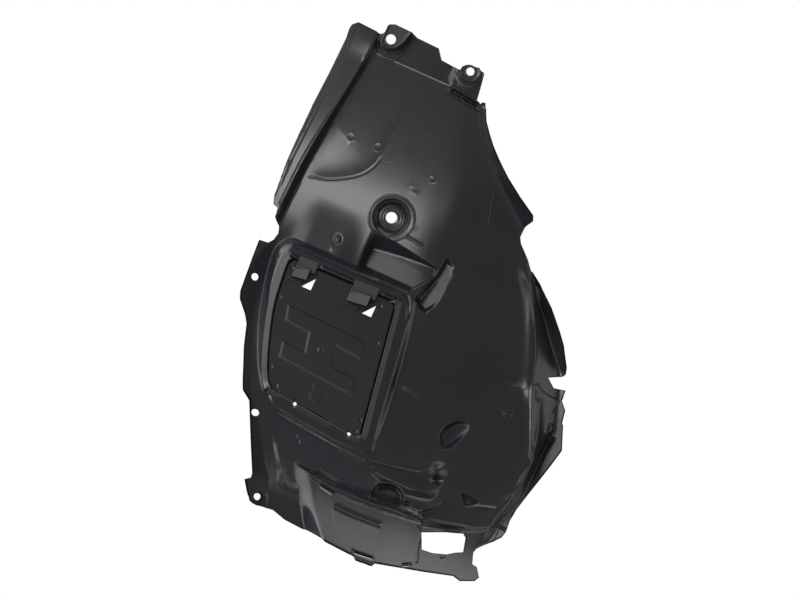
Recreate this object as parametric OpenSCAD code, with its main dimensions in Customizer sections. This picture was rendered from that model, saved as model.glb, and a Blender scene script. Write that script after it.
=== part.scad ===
/* [Overall] */
// Radius of the arch that wraps the tyre, at the wheel side
arch_radius = 430; // [400:5:480]
// Wall of the moulding
wall = 2.5; // [2:0.1:3.5]
// How far the right side of the panel falls away, mm per mm
fall_right = 0.30; // [0.1:0.02:0.45]
// How far the upper left falls away, mm per mm
fall_left = 0.14; // [0.02:0.02:0.3]

/* [Edges] */
// Height of the left lip's ridge above the panel
left_lip = 11; // [6:0.5:18]
// Slope of the flange with the three holes, mm per mm
flange_slope = 1.0; // [0.3:0.05:1.2]
// Slope of the lip along the upper right edge, mm per mm
right_lip = 0.6; // [0.2:0.05:1]
// Depth of the channel along the right side
side_channel = 18; // [8:1:30]
// How far the bottom panel stands out from the arch
bottom_step = 12; // [6:1:20]
// Depth of the shelf beside the hatch
shelf_depth = 18; // [8:1:24]

/* [Fixings] */
// Radius of the cup around the centre fixing
cup_radius = 22; // [18:0.5:28]
// Depth of the centre cup
cup_depth = 12; // [6:0.5:16]
// Hole in the centre cup
cup_hole = 12.4; // [8:0.2:14]
// Hole in the upper left pad
pad_hole = 11; // [8:0.2:13]
// Height of the upper left pad
pad_height = 6; // [3:0.5:9]
// Hole in the upper right ear
ear_hole = 9; // [7:0.2:12]
// Holes in the left flange
flange_hole = 8.4; // [6:0.2:10]

/* [Access cover] */
// Thickness of the cover
cover_wall = 2.5; // [2:0.1:3.5]
// Gap between the cover and its frame
cover_gap = 1.6; // [1:0.1:2.5]
// Height of the raised pattern on the cover
cover_rib = 1.4; // [0.8:0.1:2]
// Height of the frame's rim above the cover
rim_height = 3; // [1:0.5:5]
// Clearance between the cover and what lies behind or before it
cover_clearance = 0.4; // [0.2:0.1:1]

/* [Hidden] */
$fn = 48;
black = [0.05, 0.05, 0.055];

function fade(a, b, x) = let (t = min(1, max(0, (x - a) / (b - a)))) t * t * (3 - 2 * t);
function soft(x, r) = sqrt(x * x + r * r) - r;
function ramp(x, r) = (x + sqrt(x * x + r * r)) / 2;
function bump(u, v, cu, cv, ru, rv, a) =
    let (p = (u - cu) * cos(a) + (v - cv) * sin(a), q = (v - cv) * cos(a) - (u - cu) * sin(a))
    exp(-(p * p) / (ru * ru) - (q * q) / (rv * rv));

// Lines on the panel, each as [height, distance to the right] of the centre fixing
crown_line = [[-360, 150], [-220, 88], [-80, 66], [-20, 48], [60, 30], [190, 10]];
left_foot = [[-62, -108], [-30, -107], [5, -106], [40, -103], [85, -99], [115, -95], [150, -89], [180, -86]];
left_ridge = [[-62, -118], [-20, -117], [15, -115], [55, -111], [95, -105], [125, -101], [180, -97]];
left_roll = [[-62, -126], [0, -127], [50, -125.5], [95, -122.5], [150, -120], [190, -119]];
flange_foot = [[-364, 9], [-320, -2], [-302, -15], [-283, -28], [-265, -40], [-252, -50], [-238, -60],
    [-220, -70], [-205, -76], [-190, -82], [-175, -88], [-160, -93], [-148, -97], [-120, -101], [-60, -106]];
right_foot = [[45, 138], [60, 120], [70, 108], [80, 95], [90, 83], [100, 73], [110, 62.5], [120, 54],
    [130, 47], [140, 41], [148, 37], [200, 30]];
side_ridge = [[-364, 215], [-260, 236], [-235, 243], [-222, 249], [-205, 250], [-182, 248], [-158, 240],
    [-140, 231], [-120, 222], [-100, 212], [-78, 204], [-42, 189], [-15, 176], [0, 166], [20, 152]];
side_band = [[-364, 228], [-260, 247], [-230, 257], [-150, 260], [-110, 250], [-82, 240], [-65, 226],
    [-50, 213], [-32, 198], [-18, 184], [0, 172], [20, 156]];
rim_line = [[20, -289], [33, -290], [60, -293], [100, -292.5], [140, -289], [160, -289], [170, -291],
    [222, -276], [245, -262]];

seat = cup_depth + 3;
function arch(v) = sqrt(arch_radius * arch_radius - v * v) - arch_radius - seat;
function crown(u, v) = let (w = u - lookup(v, crown_line))
    w > 0 ? fall_right * soft(w, 25) : fall_left * fade(-240, -40, v) * soft(w, 25);
function lip_left(u, v) = let (a = lookup(v, left_foot), b = lookup(v, left_ridge), c = lookup(v, left_roll),
    k = fade(-66, -50, v) * (1 - 0.6 * fade(140, 175, v)))
    k * (-left_lip * fade(-a, -b, -u) + 0.15 * ramp(b - u, 2) + 0.7 * ramp(c - u, 2));
function flange_left(u, v) = -flange_slope * (1 - fade(-72, -58, v)) * ramp(lookup(v, flange_foot) - u, 3);
function lip_right(u, v) = -right_lip * fade(40, 52, v) * (1 - fade(150, 158, v))
    * ramp(u - lookup(v, right_foot) - 2, 3);
function side(u, v) = let (a = lookup(v, side_ridge), b = lookup(v, side_band),
    k = (1 - fade(-5, 20, v)) * fade(-300, -240, v))
    k * (-4 * exp(-pow((u - a) / 9, 2)) + side_channel * fade(a, b, u) - 0.5 * ramp(u - b, 2));
function bottom(u, v) = let (r = lookup(u, rim_line), k = fade(12, 40, u))
    -k * bottom_step * fade(-4, 4, r - v) - 0.12 * k * ramp(r - v, 4);
function shelf(u, v) = let (k = fade(-18, -3, u) * (1 - fade(52, 74, u + 0.6 * (v + 40))))
    shelf_depth * k * fade(20, 38, -v) * (1 - fade(38, 66, -v));
function top_flange(u, v) = 0.45 * ramp(v - 158, 2) * fade(-97, -87, u);
function dents(u, v) = 8 * bump(u, v, 71, -55, 9, 22, -12) - 7 * bump(u, v, -76, 52, 34, 30, 40)
    - 4 * bump(u, v, 178, -131, 24, 12, 20) + 6 * bump(u, v, 161, -192, 8, 16, -35)
    + 6 * bump(u, v, 124, -256, 30, 8, 6) - 6 * bump(u, v, 158, -233, 10, 7, 30)
    + 8 * bump(u, v, 122, -277, 14, 7, 5) + 4 * bump(u, v, 203, -249, 10, 6, 0)
    + 5 * bump(u, v, 96, -167, 26, 6, 0);

// The hatch is flat, and its plane leans with the arch
hatch_top = -84;
hatch_low = -229;
hatch_lean = atan((arch(hatch_top) - arch(hatch_low)) / (hatch_top - hatch_low));
hatch_rise = 7;
function hatch(v) = arch(hatch_top) - hatch_rise + tan(hatch_lean) * (v - hatch_top);
plinth = [[-97, -72], [52, -68], [66, -110], [76, -190], [82, -240], [74, -250], [-24, -243], [-46, -231],
    [-66, -201], [-81, -162], [-91, -122]];
function side_of(a, b, u, v) = ((b[1] - a[1]) * (u - a[0]) - (b[0] - a[0]) * (v - a[1])) / norm(b - a);
function inside(poly, u, v) = min([for (i = [0:len(poly) - 1])
    side_of(poly[i], poly[(i + 1) % len(poly)], u, v)]);
function panel(u, v) = arch(v) + crown(u, v) + lip_left(u, v) + flange_left(u, v) + lip_right(u, v)
    + side(u, v) + bottom(u, v) + shelf(u, v) + top_flange(u, v) + dents(u, v);
function slope_u(u, v) = (panel(u + 2, v) - panel(u - 2, v)) / 4;
function slope_v(u, v) = (panel(u, v + 2) - panel(u, v - 2)) / 4;
function round_cup(u, v) = fade(cup_radius + 1, cup_radius + 14, norm([u, v]));
function depth(u, v) = let (k = fade(-6, 2, inside(plinth, u, v)), c = round_cup(u, v))
    k * hatch(v) + (1 - k) * (c * panel(u, v) - (1 - c) * cup_depth);

// The grid of the skin follows these lines, again as [height, distance to the right]
edge_left = [[-364, -34], [-325, -34], [-283, -45], [-245, -64], [-190, -94], [-160, -108], [-140, -123],
    [-80, -127], [-60, -124], [-40, -131], [20, -135], [200, -132]];
roll_left = [[-364, -18], [-320, -18], [-283, -36], [-245, -58], [-190, -87], [-140, -110], [-64, -117],
    [-58, -122], [-20, -127], [50, -125.5], [95, -122.5], [200, -119]];
ridge_left = [[-364, 4], [-320, -7], [-283, -33], [-252, -55], [-220, -75], [-190, -86], [-148, -101],
    [-80, -108], [-64, -110], [-56, -117], [15, -115], [55, -111], [95, -105], [125, -101], [200, -96]];
foot_left = [[-364, 14], [-320, 4], [-283, -23], [-252, -46], [-220, -66], [-190, -78], [-148, -93],
    [-100, -98.5], [-66, -103], [-50, -107], [5, -106], [40, -103], [85, -99], [115, -95], [150, -89], [200, -84]];
plinth_left = [[-364, 30], [-260, -20], [-244, -33], [-232, -49], [-203, -68], [-162, -84.5], [-122, -92.5],
    [-72, -97.5], [-50, -95], [200, -75]];
plinth_right = [[-364, 90], [-250, 74], [-190, 69], [-110, 59], [-68, 46], [200, 10]];
ridge_right = [[-364, 205], [-260, 236], [-235, 243], [-222, 249], [-205, 250], [-182, 248], [-158, 240],
    [-140, 231], [-120, 222], [-100, 212], [-78, 204], [-42, 189], [-15, 176], [0, 166], [20, 150],
    [45, 134], [60, 120], [80, 95], [100, 73], [120, 54], [140, 41], [160, 33], [200, 30]];
band_right = [[-364, 225], [-260, 246], [-230, 257], [-150, 260], [-110, 250], [-82, 240], [-65, 226],
    [-50, 213], [-32, 198], [-18, 184], [0, 172], [20, 155], [50, 141], [65, 126], [90, 92], [120, 60],
    [150, 44], [200, 36]];
edge_right = [[-364, 256], [-320, 254], [-290, 250], [-262, 260], [-225, 266], [-200, 272], [-157, 282],
    [-130, 270], [-96, 258], [-80, 250], [-60, 242], [-40, 226], [-19, 206], [0, 182], [20, 160], [38, 146],
    [60, 150], [70, 136], [90, 105], [110, 82], [130, 64], [150, 52], [200, 42]];
rows = [-364, -355, -345, -334, -323, -312, -302, -296, -292, -288, -284, -275, -266, -257, -249, -242,
    -235, -224, -212, -200, -188, -176, -165, -152, -140, -128, -116, -105, -95, -86, -78, -71, -64, -56,
    -48, -41, -36, -30, -24, -16, -6, 5, 16, 28, 40, 53, 66, 80, 95, 110, 125, 139, 150, 158, 166, 182, 200];
// Moves the grid a little, so that no node falls on the outline's corners
grid_move = [-0.08, -0.44];
function between(a, b, n) = [for (i = [0:n - 1]) a + (b - a) * i / n];
function row(v) = let (p = lookup(v, plinth_left), q = lookup(v, plinth_right), r = lookup(v, ridge_right)) concat(
    [lookup(v, edge_left)], between(lookup(v, roll_left), lookup(v, ridge_left), 2),
    between(lookup(v, ridge_left), lookup(v, foot_left), 2), between(lookup(v, foot_left), p, 1), [p],
    between(p + 7, q, 10), [q], between(q + 9, r, 12), between(r, lookup(v, band_right), 3),
    between(lookup(v, band_right), lookup(v, edge_right), 2), [lookup(v, edge_right)]);
function normal(u, v) = let (h = 2.5, a = (depth(u + h, v) - depth(u - h, v)) / (2 * h),
    b = (depth(u, v + h) - depth(u, v - h)) / (2 * h)) [a, -1, b] / norm([a, -1, b]);

outline = [[-127, 170], [-126, 176], [-121, 180.5], [-92.5, 179], [-89, 184], [-89, 190], [-87, 193.5],
    [-82, 195.5], [-62, 195], [-54, 192], [-28, 191], [-20, 180.5], [2, 178.5], [4, 182], [7, 186.5],
    [11, 188.5], [22, 188.5], [29.5, 185.5], [31, 175], [34, 154], [38, 153], [40, 156], [43.5, 157], [48, 146],
    [52, 138], [60, 128], [70, 116.5], [80, 107], [90, 98.5], [100, 90.5], [120, 77], [141, 64.5], [143.5, 59],
    [138.5, 50], [138.5, 38], [142, 32], [156, 19], [165, 8.5], [180, -2], [200, -19], [220, -40], [230, -52],
    [238, -65], [243, -73], [245, -80], [243, -83.5], [230, -90.5], [233, -93], [240, -98.5], [252, -96],
    [253, -108], [260.5, -116], [263, -130], [265, -132], [275, -157], [271, -175], [261, -215], [256, -237],
    [254, -250], [255, -262], [253, -270], [233, -292], [231, -298], [235, -310], [241, -311], [247.5, -320],
    [245, -324.5], [230, -331], [221, -329], [190, -337.5], [137, -350.5], [135, -354.5], [116, -356],
    [113, -353], [60, -350], [28, -348], [12, -343.5], [-5, -346], [-14, -344], [-22, -335], [-29, -325],
    [-23.5, -321], [-24, -316], [-41, -283], [-56.5, -252], [-60, -245], [-71, -237.5], [-76, -227], [-90, -193],
    [-97, -170], [-103, -161], [-115, -148], [-118, -140], [-121, -100], [-122, -81], [-112, -80], [-107.5, -74],
    [-106.5, -66], [-109, -58.5], [-117, -51], [-119, -41], [-125, -39], [-128, -30], [-131, 10], [-131, 30],
    [-130, 80], [-127.5, 120], [-126, 160]];
duct = [[170, -300], [195, -289], [213, -283], [217, -286], [221, -302], [213, -306], [205, -311.5],
    [190, -316.5], [178, -317.5]];
slots = [[[47, -297], [49, -301], [64, -303.5], [66, -299.5]], [[111, -348.5], [112, -351], [133, -349], [132, -346.5]],
    [[164, -340], [166, -343], [174.5, -338.5], [173, -335]]];
pad_line = [[-92, 205], [-58, 205], [-61, 190], [-64, 180], [-70, 170], [-79, 165.5], [-88, 165.5], [-92, 172]];
flange_holes = [[-110, -120], [-49, -255], [-9, -337]];
pad_at = [-80, 178.5];
ear_at = [14, 181.5];
ear_radius = 12;
ear_height = 2.5;

// The edge of the hatch opening, as [distance to the right, height], clockwise from the upper left
hatch_line = [[-83.5, -93], [-82.5, -89], [-80, -86], [-76, -84.2], [36, -83], [40, -84], [43, -87],
    [44.5, -91], [66, -226], [66.3, -231], [64, -234], [60, -235.5], [-38, -226.2], [-43, -225],
    [-47.5, -222], [-51, -217], [-57, -206], [-64, -188], [-70, -170], [-76, -150], [-80, -130], [-82.3, -110]];
function flat(p) = [p[0], (p[1] - hatch_top) / cos(hatch_lean)];
hatch_flat = [for (p = hatch_line) flat(p)];
function unit(p) = p / norm(p);
function left_of(a, b) = let (d = unit(b - a)) [-d[1], d[0]];
function grown(poly, d) = [for (i = [0:len(poly) - 1])
    let (n = len(poly), a = left_of(poly[(i + n - 1) % n], poly[i]), b = left_of(poly[i], poly[(i + 1) % n]))
    poly[i] + d * (a + b) / (1 + a * b)];
ledge_width = 5;
frame_wall = 2.5;
ledge_back = -cover_wall - cover_clearance;
foot_back = -cover_wall - 3;
frame_back = foot_back - 2;
// Where the cover tucks behind the two tabs, its lower edge and its hinge line
hinge_left = [-33, -222.5];
hinge_right = [52, -230.5];
hinge_turn = let (a = flat(hinge_left), b = flat(hinge_right)) atan2(b[1] - a[1], b[0] - a[0]);
tabs = [[-34, -16], [31, 52]];
tab_reach = 9;
tab_wall = 2;
tab_hole = 4;
tab_holes = [[-13.5, -229.8], [54, -235.6]];
latches = [[-74, -51, -79.5], [-8, 21.5, -78.5]];
plate_low = -92;

module on_hatch() {
    translate([0, hatch(hatch_top), hatch_top]) rotate([90 - hatch_lean, 0, 0]) children();
}

module slab(poly, low, high) {
    translate([0, 0, low]) linear_extrude(high - low) polygon(poly);
}

module through(deep) {
    rotate([90, 0, 0]) translate([0, 0, -deep]) linear_extrude(2 * deep, convexity = 10) children();
}

module skin() {
    lines = [for (v = rows) v + grid_move[1]];
    grid = [for (v = lines) [for (u = row(v)) u + grid_move[0]]];
    n = len(grid[0]);
    m = len(rows);
    front = [for (j = [0:m - 1]) for (u = grid[j]) [u, depth(u, lines[j]), lines[j]]];
    back = [for (j = [0:m - 1]) for (u = grid[j]) [u, depth(u, lines[j]), lines[j]] - wall * normal(u, lines[j])];
    k = n * m;
    quads = [for (j = [0:m - 2]) for (i = [0:n - 2])
        [j * n + i, j * n + i + 1, (j + 1) * n + i + 1, (j + 1) * n + i]];
    rim = concat([for (i = [0:n - 2]) [i, i + 1]], [for (j = [1:m - 1]) [j * n - 1, (j + 1) * n - 1]],
        [for (i = [n - 1:-1:1]) [k - n + i, k - n + i - 1]], [for (j = [m - 1:-1:1]) [j * n, (j - 1) * n]]);
    polyhedron(concat(front, back), concat(
        [for (q = quads) each [[q[0], q[2], q[1]], [q[0], q[3], q[2]]]],
        [for (q = quads) each [[k + q[0], k + q[1], k + q[2]], [k + q[0], k + q[2], k + q[3]]]],
        [for (e = rim) each [[e[0], e[1], k + e[1]], [e[0], k + e[1], k + e[0]]]]), convexity = 10);
}

module cup() {
    rotate([90, 0, 0]) rotate_extrude() polygon([[0, 0], [cup_radius - 9, 0], [cup_radius, cup_depth - 0.6],
        [cup_radius + 2.2, cup_depth - 0.6], [cup_radius + 2.2, cup_depth - wall + 0.6],
        [cup_radius + 1.2, cup_depth - wall - 0.3], [cup_radius - 7.5, -wall], [0, -wall]]);
}

module frame() {
    on_hatch() {
        difference() {
            slab(grown(hatch_flat, frame_wall), frame_back, rim_height);
            slab(hatch_flat, frame_back - 1, rim_height + 1);
            for (a = latches) let (p = flat([a[0] - 1, -88]), q = flat([a[1] + 1, -70]))
                slab([p, [q[0], p[1]], q, [p[0], q[1]]], 0, rim_height + 1);
        }
        difference() {
            slab(grown(hatch_flat, frame_wall / 2), ledge_back - 2, ledge_back);
            slab(grown(hatch_flat, -ledge_width), frame_back - 1, 1);
            low = flat([0, -219])[1];
            slab([[-100, low], [-60, low - 30], [100, low - 30], [100, low]], frame_back - 1, 1);
        }
        difference() {
            slab(grown(hatch_flat, frame_wall / 2), frame_back + 0.3, foot_back);
            slab(grown(hatch_flat, -ledge_width), frame_back - 1, 1);
            high = flat([0, -214])[1];
            slab([[-100, high], [100, high], [100, high + 200], [-100, high + 200]], frame_back - 1, 1);
            for (p = tab_holes) translate([flat(p)[0], flat(p)[1], frame_back - 1]) cylinder(d = tab_hole, h = 3 - foot_back);
        }
        translate([flat(hinge_left)[0], flat(hinge_left)[1], 0]) rotate(hinge_turn) for (t = tabs)
            translate([t[0] - hinge_left[0], -tab_reach, cover_clearance]) cube([t[1] - t[0], tab_reach, tab_wall]);
    }
}

module pads() {
    intersection() {
        union() {
            translate([0, panel(pad_at[0], pad_at[1]) - pad_height, 0]) rotate([-90, 0, 0])
                linear_extrude(pad_height + wall / 2) mirror([0, 1]) polygon(pad_line);
            translate([ear_at[0], panel(ear_at[0], ear_at[1]) - ear_height, ear_at[1]]) rotate([-90, 0, 0])
                cylinder(r1 = ear_radius - 1, r2 = ear_radius + 1, h = ear_height + wall / 2, $fn = 36);
        }
        through(400) polygon(outline);
    }
}

module on_skin(at) {
    n = unit([slope_u(at[0], at[1]), -1, slope_v(at[0], at[1])]);
    translate([at[0], panel(at[0], at[1]), at[1]]) rotate([0, acos(n[2]), atan2(n[1], n[0])]) children();
}

module liner_shell() {
    color(black) difference() {
        resize([0, 0, 0]) union() {
            difference() {
                intersection() {
                    skin();
                    through(400) polygon(outline);
                }
                through(400) polygon(duct);
                for (s = slots) through(400) polygon(s);
                on_hatch() slab(grown(hatch_flat, frame_wall / 2), -30, 30);
                for (i = [1, 2]) on_skin(flange_holes[i]) cylinder(d = flange_hole, h = 8, center = true, $fn = 20);
                rotate([90, 0, 0]) cylinder(r = cup_radius + 1, h = 80, center = true);
            }
            cup();
            frame();
            pads();
        }
        rotate([90, 0, 0]) cylinder(d = cup_hole, h = 20, center = true);
        translate([pad_at[0], panel(pad_at[0], pad_at[1]), pad_at[1]]) rotate([90, 0, 0])
            cylinder(d = pad_hole, h = 60, center = true);
        translate([ear_at[0], panel(ear_at[0], ear_at[1]), ear_at[1]]) rotate([90, 0, 0])
            cylinder(d = ear_hole, h = 60, center = true);
        on_skin(flange_holes[0]) cylinder(d = flange_hole, h = 24, center = true);
    }
}

module access_cover() {
    color([0.07, 0.07, 0.075]) on_hatch() difference() {
        union() {
            slab(grown(hatch_flat, -cover_gap), -cover_wall, 0);
            pattern();
            for (a = latches) latch(a);
        }
        for (a = latches) window(a);
    }
}

module pattern() {
    for (bar = [[[-64, -134], [28, -137.5], [33, -156], [0, -153], [5, -177], [37, -179], [41, -196], [-50, -189],
        [-53, -173], [-26, -174.5], [-31, -152], [-60, -150]]])
        slab([for (p = bar) flat(p)], -0.5, cover_rib);
}

module latch(a) {
    p = flat([a[0] + 1, plate_low]);
    q = flat([a[1] - 1, a[2]]);
    slab([p, [q[0], p[1]], q, [p[0], q[1]]], cover_clearance, cover_clearance + 2);
    f = flat([a[0] - 1, -103.5]);
    slab([[f[0], f[1]], [f[0] + 14, f[1]], [a[1] - 6, p[1] - 4], [a[1] - 6, p[1] + 3], [f[0] + 2, p[1] + 3]], -1, 4.5);
    slab([for (c = [[a[0] - 4, -105], [a[0] + 17, -105.6], [a[0] + 17, -108.4], [a[0] - 4, -107.6]]) flat(c)], -1, 2);
}

module window(a) {
    r = a[1] + 2.5;
    slab([for (c = [[r, -95], [r, -109], [r - 11.5, -109]]) flat(c)], -10, 10);
}

liner_shell();
access_cover();
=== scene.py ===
"""The mudguard's looks: a fine shell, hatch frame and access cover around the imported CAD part."""
import math

import bpy
import numpy as np
from mathutils import Matrix, Vector
from mathutils.geometry import delaunay_2d_cdt


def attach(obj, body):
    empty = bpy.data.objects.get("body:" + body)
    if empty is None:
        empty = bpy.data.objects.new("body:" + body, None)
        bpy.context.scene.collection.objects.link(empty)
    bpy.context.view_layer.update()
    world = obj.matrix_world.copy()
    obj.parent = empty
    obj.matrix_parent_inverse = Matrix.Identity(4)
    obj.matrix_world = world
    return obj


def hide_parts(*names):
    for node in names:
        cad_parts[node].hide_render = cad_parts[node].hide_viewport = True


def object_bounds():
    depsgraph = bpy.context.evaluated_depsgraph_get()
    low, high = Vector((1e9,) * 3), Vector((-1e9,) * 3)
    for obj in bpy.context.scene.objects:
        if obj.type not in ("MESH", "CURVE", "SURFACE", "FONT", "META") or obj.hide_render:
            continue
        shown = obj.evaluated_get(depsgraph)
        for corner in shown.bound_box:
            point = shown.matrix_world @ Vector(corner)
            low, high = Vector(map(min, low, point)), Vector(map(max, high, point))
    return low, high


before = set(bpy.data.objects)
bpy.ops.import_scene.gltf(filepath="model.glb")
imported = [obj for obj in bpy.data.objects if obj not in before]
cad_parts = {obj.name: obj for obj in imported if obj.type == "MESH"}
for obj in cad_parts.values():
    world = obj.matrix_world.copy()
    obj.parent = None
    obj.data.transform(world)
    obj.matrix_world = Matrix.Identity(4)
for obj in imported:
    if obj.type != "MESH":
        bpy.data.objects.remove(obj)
cad_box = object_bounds()

# Lengths are in mm until a mesh is made: u to the right, v up, from the centre fixing.
# A depth grows away from the viewer, and a height stands out towards the viewer.
MM = 0.001
WALL = 2.5
COVER_WALL = 2.5
COVER_GAP = 1.6
HATCH_HOLE_MARGIN = 1.25
ARCH_RADIUS = 430
SEAT = 15
CUP_RADIUS = 22


def fade(a, b, x):
    """From 0 at a to 1 at b, smoothly."""
    t = np.clip((x - a) / (b - a), 0, 1)
    return t * t * (3 - 2 * t)


def soft(x, r):
    """The size of x, rounded at 0."""
    return np.sqrt(x * x + r * r) - r


def ramp(x, r):
    """x where it is positive and 0 elsewhere, rounded at 0."""
    return (x + np.sqrt(x * x + r * r)) / 2


def curve(points):
    """A smooth function through [position, value] points, which never overshoots them."""
    t, y = np.array(points, float).T
    h, d = np.diff(t), np.diff(y) / np.diff(t)
    m = np.zeros(len(t))
    inner = d[:-1] * d[1:] > 0
    m[1:-1][inner] = 2 * d[:-1][inner] * d[1:][inner] / (d[:-1] + d[1:])[inner]
    m[0], m[-1] = d[0], d[-1]

    def value(x):
        x = np.clip(x, t[0], t[-1])
        i = np.clip(np.searchsorted(t, x) - 1, 0, len(h) - 1)
        s = (x - t[i]) / h[i]
        return (y[i] * (1 + 2 * s) * (1 - s) ** 2 + y[i + 1] * s * s * (3 - 2 * s)
                + h[i] * (m[i] * s * (1 - s) ** 2 - m[i + 1] * s * s * (1 - s)))
    return value


def rounded(points, closed=False, n=6):
    """Points on a Catmull-Rom curve through the given ones."""
    p = np.array(points, float)
    if closed:
        p = np.vstack([p[-1:], p, p[:2]])
    else:
        p = np.vstack([2 * p[:1] - p[1:2], p, 2 * p[-1:] - p[-2:-1]])
    t = np.linspace(0, 1, n, endpoint=False)[:, None]
    out = []
    for a, b, c, d in zip(p, p[1:], p[2:], p[3:]):
        out.append(0.5 * (2 * b + (c - a) * t + (2 * a - 5 * b + 4 * c - d) * t ** 2
                          + (3 * b - a - 3 * c + d) * t ** 3))
    if not closed:
        out.append(p[-2:-1])
    return np.vstack(out)


def from_line(points, u, v):
    """Distance to a line, its side (1 on the left), and the share of the line's length."""
    p = np.array(points, float)
    best = np.full(np.shape(u), 1e9)
    side = np.zeros(np.shape(u))
    share = np.zeros(np.shape(u))
    lengths = np.linalg.norm(np.diff(p, axis=0), axis=1)
    total, run = lengths.sum(), 0.0
    for a, b, n in zip(p, p[1:], lengths):
        if n < 1e-9:
            continue
        d = (b - a) / n
        s = np.clip((u - a[0]) * d[0] + (v - a[1]) * d[1], 0, n)
        x, y = u - a[0] - s * d[0], v - a[1] - s * d[1]
        q = np.hypot(x, y)
        near = q < best
        best = np.where(near, q, best)
        side = np.where(near, np.sign(d[0] * (v - a[1]) - d[1] * (u - a[0])), side)
        share = np.where(near, (run + s) / total, share)
        run += n
    return best, side, share


def within(poly, u, v):
    """True where a point is inside the polygon."""
    p = np.array(poly, float)
    inside = np.zeros(np.shape(u), bool)
    for (ax, ay), (bx, by) in zip(p, np.roll(p, -1, 0)):
        if ay == by:
            continue
        cross = (ay > v) != (by > v)
        inside ^= cross & (u < (bx - ax) * (v - ay) / (by - ay) + ax)
    return inside


def inset(poly, u, v):
    """Distance inside the polygon's edge, negative outside it."""
    p = np.vstack([poly, poly[:1]])
    d = from_line(p, u, v)[0]
    return np.where(within(poly, u, v), d, -d)


def bump(u, v, cu, cv, ru, rv, a):
    """A round hill of height 1, with two radii and a turn in degrees."""
    c, s = math.cos(math.radians(a)), math.sin(math.radians(a))
    p, q = (u - cu) * c + (v - cv) * s, (v - cv) * c - (u - cu) * s
    return np.exp(-(p * p) / (ru * ru) - (q * q) / (rv * rv))


# Lines on the panel, each as [height, distance to the right] of the centre fixing, in mm
crown_line = curve([[-360, 150], [-220, 88], [-80, 66], [-20, 50], [60, 36], [190, 10]])
left_foot = curve([[-62, -108], [-30, -107], [5, -106], [40, -103], [85, -99], [115, -95],
    [150, -89], [180, -86]])
left_ridge = curve([[-62, -118], [-20, -117], [15, -115], [55, -111], [95, -105], [125, -101],
    [180, -97]])
left_roll = curve([[-62, -126], [0, -127], [50, -125.5], [95, -122.5], [150, -120], [190, -119]])
flange_foot = curve([[-364, 9], [-320, -2], [-302, -15], [-283, -28], [-265, -40], [-252, -50],
    [-238, -60], [-220, -70], [-205, -76], [-190, -82], [-175, -88], [-160, -93], [-148, -97],
    [-120, -101], [-60, -106]])
right_foot = curve([[45, 138], [60, 120], [70, 108], [80, 95], [90, 83], [100, 73], [110, 62.5],
    [120, 54], [130, 47], [140, 41], [148, 37], [200, 30]])
side_ridge = curve([[-364, 215], [-260, 236], [-235, 243], [-222, 249], [-205, 250], [-182, 248],
    [-158, 240], [-140, 231], [-120, 222], [-100, 212], [-78, 204], [-42, 189], [-15, 176],
    [0, 166], [20, 152]])
side_band = curve([[-364, 228], [-260, 247], [-230, 257], [-150, 260], [-110, 250], [-82, 240],
    [-65, 226], [-50, 213], [-32, 198], [-18, 184], [0, 172], [20, 156]])
rim_line = curve([[20, -289], [33, -290], [60, -293], [100, -292.5], [140, -289], [160, -289],
    [170, -291], [222, -276], [245, -262]])


def arch(v):
    return np.sqrt(ARCH_RADIUS ** 2 - v * v) - ARCH_RADIUS - SEAT


def crown(u, v):
    w = u - crown_line(v)
    return np.where(w > 0, 0.30 * soft(w, 16), 0.14 * fade(-240, -40, v) * soft(w, 25))


def lip_left(u, v):
    """The left lip stands out up to its ridge, then falls back over its roll."""
    a, b, c = left_foot(v), left_ridge(v), left_roll(v)
    height, top_slope, roll_slope = 11, 0.15, 0.7
    k = fade(-66, -50, v) * (1 - 0.6 * fade(140, 175, v))
    return k * (-height * fade(-a, -b, -u) + top_slope * ramp(b - u, 2)
                + roll_slope * ramp(c - u, 2))


def flange_left(u, v):
    """The lower left flange leans towards the viewer from its foot."""
    slope = 0.75
    return -slope * (1 - fade(-72, -58, v)) * ramp(flange_foot(v) - u, 3)


def lip_right(u, v):
    """The upper right lip leans towards the viewer from its foot."""
    slope = 0.6
    return -slope * fade(40, 52, v) * (1 - fade(150, 158, v)) * ramp(u - right_foot(v) - 2, 3)


def side(u, v):
    """The right side: a ridge, a fall beyond it, and an outer band that leans back out."""
    a, b = side_ridge(v), side_band(v)
    height, width, fall, band_slope = 4, 9, 18, 0.8
    k = (1 - fade(-5, 20, v)) * fade(-300, -240, v)
    ridge = -height * np.exp(-((u - a) / width) ** 2)
    return k * (ridge + fall * fade(0, 1, (u - a) / (b - a)) - band_slope * ramp(u - b, 2))


panel_left = curve([[-356, 76], [-345, 67], [-331, 57], [-310, 42], [-298, 33], [-285, 27]])


def bottom(u, v):
    """The bottom panel stands out below its rolled rim. Left of it the sheet's edge leans back."""
    rim, k = rim_line(u), fade(-20, 6, u - panel_left(v))
    height, slope, edge_slope = 12, 0.12, 0.75
    return (-k * height * fade(-2.5, 2.5, rim - v) - slope * k * ramp(rim - v, 4)
            + edge_slope * (1 - k) * ramp(-327 - v + 0.05 * u, 3) * fade(-10, 4, u))


def shelf(u, v):
    """A step in the panel: a dark wall down to a floor, which rises to the hatch and the right."""
    right = 70 - 0.75 * np.maximum(-40 - v, 0)
    tilt = 0.14 * (u + 3)
    wall = 16 * (-20 - v - tilt) / (15 - tilt)
    floor = 1.5 + 0.2 * (right - u) + 0.12 * (66.5 + v)
    low = (wall + floor - np.sqrt((wall - floor) ** 2 + 3)) / 2
    out = ramp(low, 0.5) * fade(-15, -3, u) * (1 - fade(-3, 1, u - right))
    return out * (1 - fade(60, 66.5, -v))


CREASE = 158


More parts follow.
